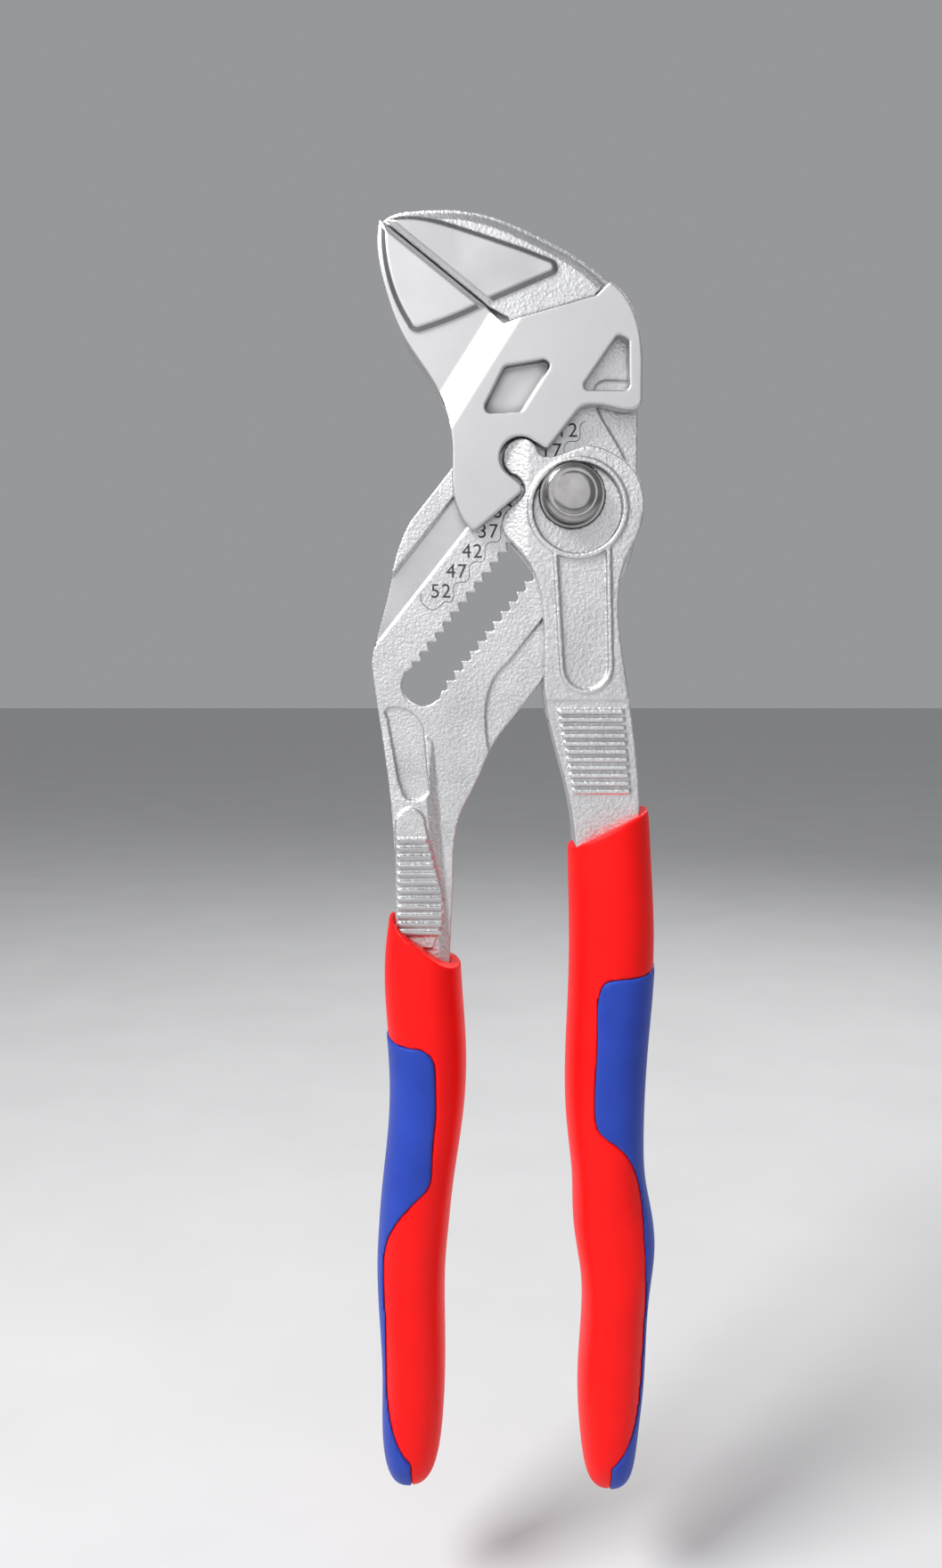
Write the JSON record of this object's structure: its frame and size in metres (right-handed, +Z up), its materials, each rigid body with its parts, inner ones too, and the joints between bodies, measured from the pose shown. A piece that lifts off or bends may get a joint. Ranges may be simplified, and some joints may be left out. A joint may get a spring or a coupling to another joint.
{
  "type": "push-button adjustable pliers wrench",
  "caption": "Adjustable pliers wrench: smooth parallel jaws set by a push-button bolt in a toothed slot, worked by a lever between two-colour grips.",
  "frame": {"origin": "on the hinge bolt's axis, in the middle of the tool's thickness", "axes": "+Z up along the handles towards the jaws, -Y towards the front face with the push button, +X towards the lever handle"},
  "size_m": [0.058, 0.0216, 0.2601],
  "materials": {
    "forged_steel": "satin nickel over drop-forged skin",
    "ground_steel": "satin nickel over ground faces",
    "bolt_steel": "turned",
    "polished_steel": "polished",
    "spring_steel": "drawn wire and blued strip",
    "hard_grip": "smooth, semi-gloss red",
    "soft_grip": "soft matte blue"
  },
  "bodies": {
    "leg": {"slotted_leg": "forged_steel", "left_grip_core": "hard_grip", "left_grip_overlay": "soft_grip"},
    "hinge": {"front_bush": "bolt_steel", "rear_bush": "bolt_steel", "rear_cap": "bolt_steel", "retaining_ring": "spring_steel", "bolt_spring": "spring_steel"},
    "button": {"push_button": "polished_steel", "toothed_bolt": "bolt_steel"},
    "lever": {"lever": "forged_steel", "right_grip_core": "hard_grip", "right_grip_overlay": "soft_grip"},
    "jaw": {"sliding_jaw": "ground_steel"}
  },
  "joints": [
    {"name": "size_adjust", "type": "slide", "parent": "leg", "child": "hinge", "axis": [-0.6225, 0, -0.7826], "range_m": [0, 0.03]},
    {"name": "lever_swing", "type": "hinge", "parent": "hinge", "child": "lever", "pos_m": [0, 0, 0], "axis": [0, -1, 0], "range_deg": [0, 30]},
    {"name": "jaw_travel", "type": "slide", "parent": "hinge", "child": "jaw", "axis": [-0.6225, 0, -0.7826], "range_m": [0, 0.0064]},
    {"name": "button_press", "type": "slide", "parent": "hinge", "child": "button", "axis": [0, 1, 0], "range_m": [0, 0.003], "stiffness_N_per_m": 1200, "springref_m": -0.003, "deforming": ["bolt_spring"]}
  ],
  "couplings": [
    {"joint": "jaw_travel", "follows": "lever_swing", "m_per_rad": 0.0119}
  ]
}
